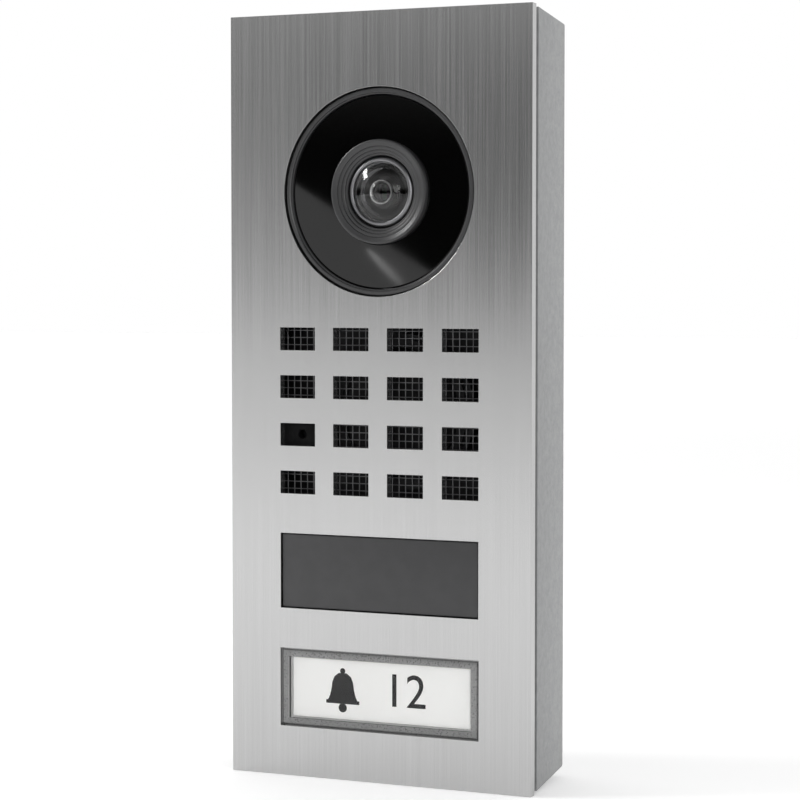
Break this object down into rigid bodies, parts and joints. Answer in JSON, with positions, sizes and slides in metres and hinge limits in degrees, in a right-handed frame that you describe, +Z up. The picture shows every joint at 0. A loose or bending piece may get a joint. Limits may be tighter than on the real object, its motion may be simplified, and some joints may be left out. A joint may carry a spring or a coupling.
{
  "type": "door intercom panel",
  "caption": "Wall-mounted door intercom panel: brushed steel front with camera, speech grille, dark reader window and a lit name-plate call button on a drafted back box.",
  "frame": {"origin": "middle of the housing's back face, on the wall", "axes": "+Z up, +Y into the wall, -Y out of the front plate, +X to the right of someone facing the panel"},
  "size_m": [0.0676, 0.025, 0.1574],
  "materials": {
    "brushed_stainless": "fine vertical brushing",
    "welded_steel": "mill finish",
    "housing_coat": "satin powder coat",
    "seal_rubber": "matte",
    "screw_steel": "plated",
    "black_moulding": "moulded",
    "bezel_moulding": "satin moulded",
    "gloss_black": "polished",
    "barrel_metal": "anodised",
    "lens_glass": "coated",
    "chip_black": "moulded epoxy",
    "board_green": "solder mask",
    "lamp_epoxy": "clear epoxy",
    "flex_film": "film",
    "ivory_moulding": "moulded",
    "black_mesh": "black woven wire",
    "speaker_plastic": "moulded",
    "cone_film": "pressed film",
    "copper": "bare copper",
    "plated_steel": "zinc plated",
    "tinted_window": "dark tinted, satin",
    "clear_plastic": "clear",
    "label_paper": "paper",
    "white_moulding": "translucent white",
    "spring_steel": "drawn wire",
    "relay_blue": "moulded",
    "capacitor_can": "sleeved",
    "terminal_green": "moulded"
  },
  "bodies": {
    "panel": {"front_plate": "brushed_stainless", "plate_standoffs": "welded_steel", "top_hook": "welded_steel", "fixing_bracket": "welded_steel", "rear_housing": "housing_coat", "housing_gasket": "seal_rubber", "cable_grommet": "seal_rubber", "security_screw": "screw_steel", "carrier_frame": "black_moulding", "carrier_screws": "screw_steel", "self_tapping_screws": "screw_steel", "camera_bezel": "bezel_moulding", "camera_seal": "seal_rubber", "camera_cover": "gloss_black", "camera_housing": "black_moulding", "lens_collar": "bezel_moulding", "lens_barrel": "barrel_metal", "front_lens": "lens_glass", "lens_retaining_ring": "barrel_metal", "lens_spacer": "black_moulding", "rear_lens": "lens_glass", "lens_holder": "black_moulding", "image_sensor": "chip_black", "camera_board": "board_green", "camera_board_screws": "screw_steel", "lamp_board": "board_green", "infrared_lamps": "lamp_epoxy", "camera_flex": "flex_film", "flex_connectors": "ivory_moulding", "grille_gasket": "seal_rubber", "speaker_mesh": "black_mesh", "speaker_gasket": "seal_rubber", "speaker_basket": "speaker_plastic", "speaker_surround": "seal_rubber", "speaker_magnet": "plated_steel", "microphone_boot": "seal_rubber", "microphone": "plated_steel", "reader_window": "tinted_window", "window_seal": "seal_rubber", "reader_board": "board_green", "reader_antenna": "copper", "button_guide": "white_moulding", "button_springs": "spring_steel", "switch_body": "black_moulding", "backlight_lamps": "lamp_epoxy", "main_board": "board_green", "processor": "chip_black", "wifi_module": "plated_steel", "power_transformer": "black_moulding", "door_relay": "relay_blue", "capacitors": "capacitor_can", "terminal_block": "terminal_green", "terminal_screws": "screw_steel"},
    "call_button": {"button_cap": "clear_plastic", "name_label": "label_paper", "label_tray": "white_moulding"},
    "switch_plunger": {"switch_plunger": "ivory_moulding"},
    "speaker_cone": {"speaker_cone": "cone_film", "voice_coil": "copper"}
  },
  "joints": [
    {"name": "button_press", "type": "slide", "parent": "panel", "child": "call_button", "axis": [0, 1, 0], "range_m": [0, 0.0007], "stiffness_N_per_m": 2400, "springref_m": -0.0006, "deforming": ["button_springs"]},
    {"name": "plunger_press", "type": "slide", "parent": "panel", "child": "switch_plunger", "axis": [0, 1, 0], "range_m": [0, 0.0007]},
    {"name": "cone_travel", "type": "slide", "parent": "panel", "child": "speaker_cone", "axis": [0, 1, 0], "range_m": [-0.0004, 0.0004], "stiffness_N_per_m": 900}
  ],
  "couplings": [
    {"joint": "plunger_press", "follows": "button_press", "ratio": 1}
  ]
}
